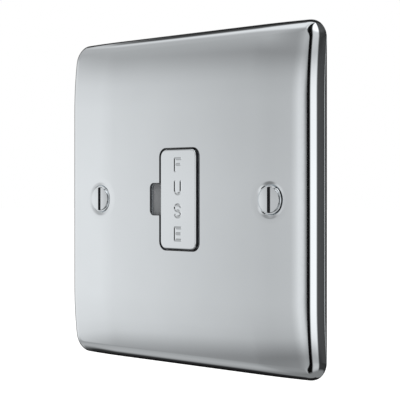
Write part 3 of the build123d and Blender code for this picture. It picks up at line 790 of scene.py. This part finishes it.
for piece, node, body, rule in (
    (make_plate(), "front_plate", "unit", is_cut_shade),
    (make_screw("screw_left", -FIXING_X), "fixing_screws", "unit", is_slot_shade),
    (make_screw("screw_right", FIXING_X), "fixing_screws", "unit", is_slot_shade),
    (make_cap(), "carrier_cap", "carrier", None),
):
    paint(piece, MATERIALS[NODE_SLOTS[node]])
    # Painted shade on the faces the rule picks: slots of the screws, cut edges of the plate
    if rule:
        paint_shade(piece, MATERIALS["painted_shade"], rule)
    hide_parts(node)
    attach(piece, body)


def shown(value):
    """Light that makes polished chrome render as a display value from 0 to 255, by the sRGB curve."""
    level = value / 255
    linear = level / 12.92 if level < 0.04 else ((level + 0.055) / 1.055) ** 2.4
    return linear / CHROME_SHARE


def by_angle(stops, half):
    """Grey ramp stops for values by angle, from minus half to plus half a range."""
    return [((angle + half) / (2 * half), [value] * 3) for angle, value in stops]


def studio_light(shader):
    """Light of the studio in the direction of a reflection."""
    where = shader.node("ShaderNodeTexCoord").outputs["Generated"]
    split = shader.node("ShaderNodeSeparateXYZ")
    shader.join(where, split.inputs["Vector"])
    x, y, z = split.outputs
    azimuth = shader.math("ARCTAN2", x, shader.math("MULTIPLY", y, -1.0))
    around = shader.math("ADD", shader.math("DIVIDE", azimuth, 2 * pi), 0.5)
    height = shader.math("ADD", shader.math("DIVIDE", shader.math("ARCSINE", z), pi), 0.5)
    side = shader.ramp(around, by_angle([(angle, shown(value)) for angle, value in PANELS], 180))
    band = shader.ramp(height, by_angle(BANDS, 90))
    flag = shader.ramp(around, by_angle(FLAG_AROUND, 180))
    reach = shader.ramp(height, by_angle(FLAG_HEIGHT, 90))
    unflagged = shader.math("SUBTRACT", 1.0, shader.math("MULTIPLY", flag, reach))
    high = shader.ramp(height, by_angle(HIGH_WALL, 90))
    left = shader.ramp(around, by_angle(HIGH_AROUND, 180))
    low = shader.ramp(height, by_angle(LOW_WALL, 90))
    cover = shader.math("ADD", shader.math("MULTIPLY", high, left), low)
    change = shader.math("MULTIPLY", shader.math("SUBTRACT", shown(PLAIN_VALUE), side), cover)
    walls = shader.math("ADD", side, change)
    return shader.math("MULTIPLY", shader.math("MULTIPLY", walls, band), unflagged)


def make_world():
    """Plain even light on the object and white behind it, with the studio for reflections only."""
    scene.world = bpy.data.worlds.new("studio")
    scene.world.use_nodes = True
    shader = Shader(scene.world.node_tree)
    ray = shader.node("ShaderNodeLightPath")
    colour = shader.node("ShaderNodeMix", data_type="RGBA")
    even = shader.node("ShaderNodeMix", data_type="RGBA")
    even.inputs["A"].default_value = (1, 1, 1, 1)
    even.inputs["B"].default_value = (DIFFUSE_LIGHT, DIFFUSE_LIGHT, DIFFUSE_LIGHT, 1)
    shader.join(ray.outputs["Is Diffuse Ray"], even.inputs["Factor"])
    shader.join(ray.outputs["Is Glossy Ray"], colour.inputs["Factor"])
    shader.join(even.outputs["Result"], colour.inputs["A"])
    shader.join(studio_light(shader), colour.inputs["B"])
    light = shader.node("ShaderNodeBackground")
    shader.join(colour.outputs["Result"], light.inputs["Color"])
    out = shader.node("ShaderNodeOutputWorld")
    shader.join(light.outputs["Background"], out.inputs["Surface"])


def make_floor():
    """Plain white floor well below the object, which keeps its soft shadow."""
    square = ((-1, -1), (1, -1), (1, 1), (-1, 1))
    corners = [(x * FLOOR_HALF, y * FLOOR_HALF, FLOOR_LEVEL) for x, y in square]
    mesh = bpy.data.meshes.new("floor")
    mesh.from_pydata(corners, [], [(0, 1, 2, 3)])
    floor = bpy.data.objects.new("floor", mesh)
    scene.collection.objects.link(floor)
    material = bpy.data.materials.new("floor")
    material.use_nodes = True
    shader = Shader(material.node_tree)
    matte = shader.node("ShaderNodeBsdfDiffuse")
    matte.inputs["Color"].default_value = (FLOOR_TONE, FLOOR_TONE, FLOOR_TONE, 1)
    glow = shader.node("ShaderNodeEmission")
    glow.inputs["Strength"].default_value = FLOOR_GLOW
    both = shader.node("ShaderNodeAddShader")
    shader.join(matte.outputs["BSDF"], both.inputs[0])
    shader.join(glow.outputs["Emission"], both.inputs[1])
    out = shader.node("ShaderNodeOutputMaterial")
    shader.join(both.outputs["Shader"], out.inputs["Surface"])
    mesh.materials.append(material)
    floor.visible_glossy = False


def make_lamp(name, at, size, power):
    """Soft square lamp aimed at the object."""
    light = bpy.data.lights.new(name, "AREA")
    light.size = size
    light.energy = power
    lamp = bpy.data.objects.new(name, light)
    lamp.location = at
    lamp.rotation_euler = (-Vector(at)).to_track_quat("-Z", "Y").to_euler()
    lamp.visible_glossy = False
    scene.collection.objects.link(lamp)


def make_camera():
    """Long lens, level, from the right of the plate."""
    lens = bpy.data.cameras.new("camera")
    lens.lens = LENS
    lens.sensor_width = SENSOR
    lens.shift_y = LENS_SHIFT
    lens.clip_start = NEAREST
    camera = bpy.data.objects.new("camera", lens)
    camera.location = CAMERA_PLACE
    camera.rotation_euler = (pi / 2, 0, radians(CAMERA_TURN))
    scene.collection.objects.link(camera)
    scene.camera = camera


make_world()
make_floor()
make_lamp("key", at=(-0.5, -0.7, 0.9), size=0.8, power=6)
make_lamp("fill", at=(0.8, -0.5, 0.5), size=0.8, power=3)
make_camera()
scene.view_settings.view_transform = "Standard"
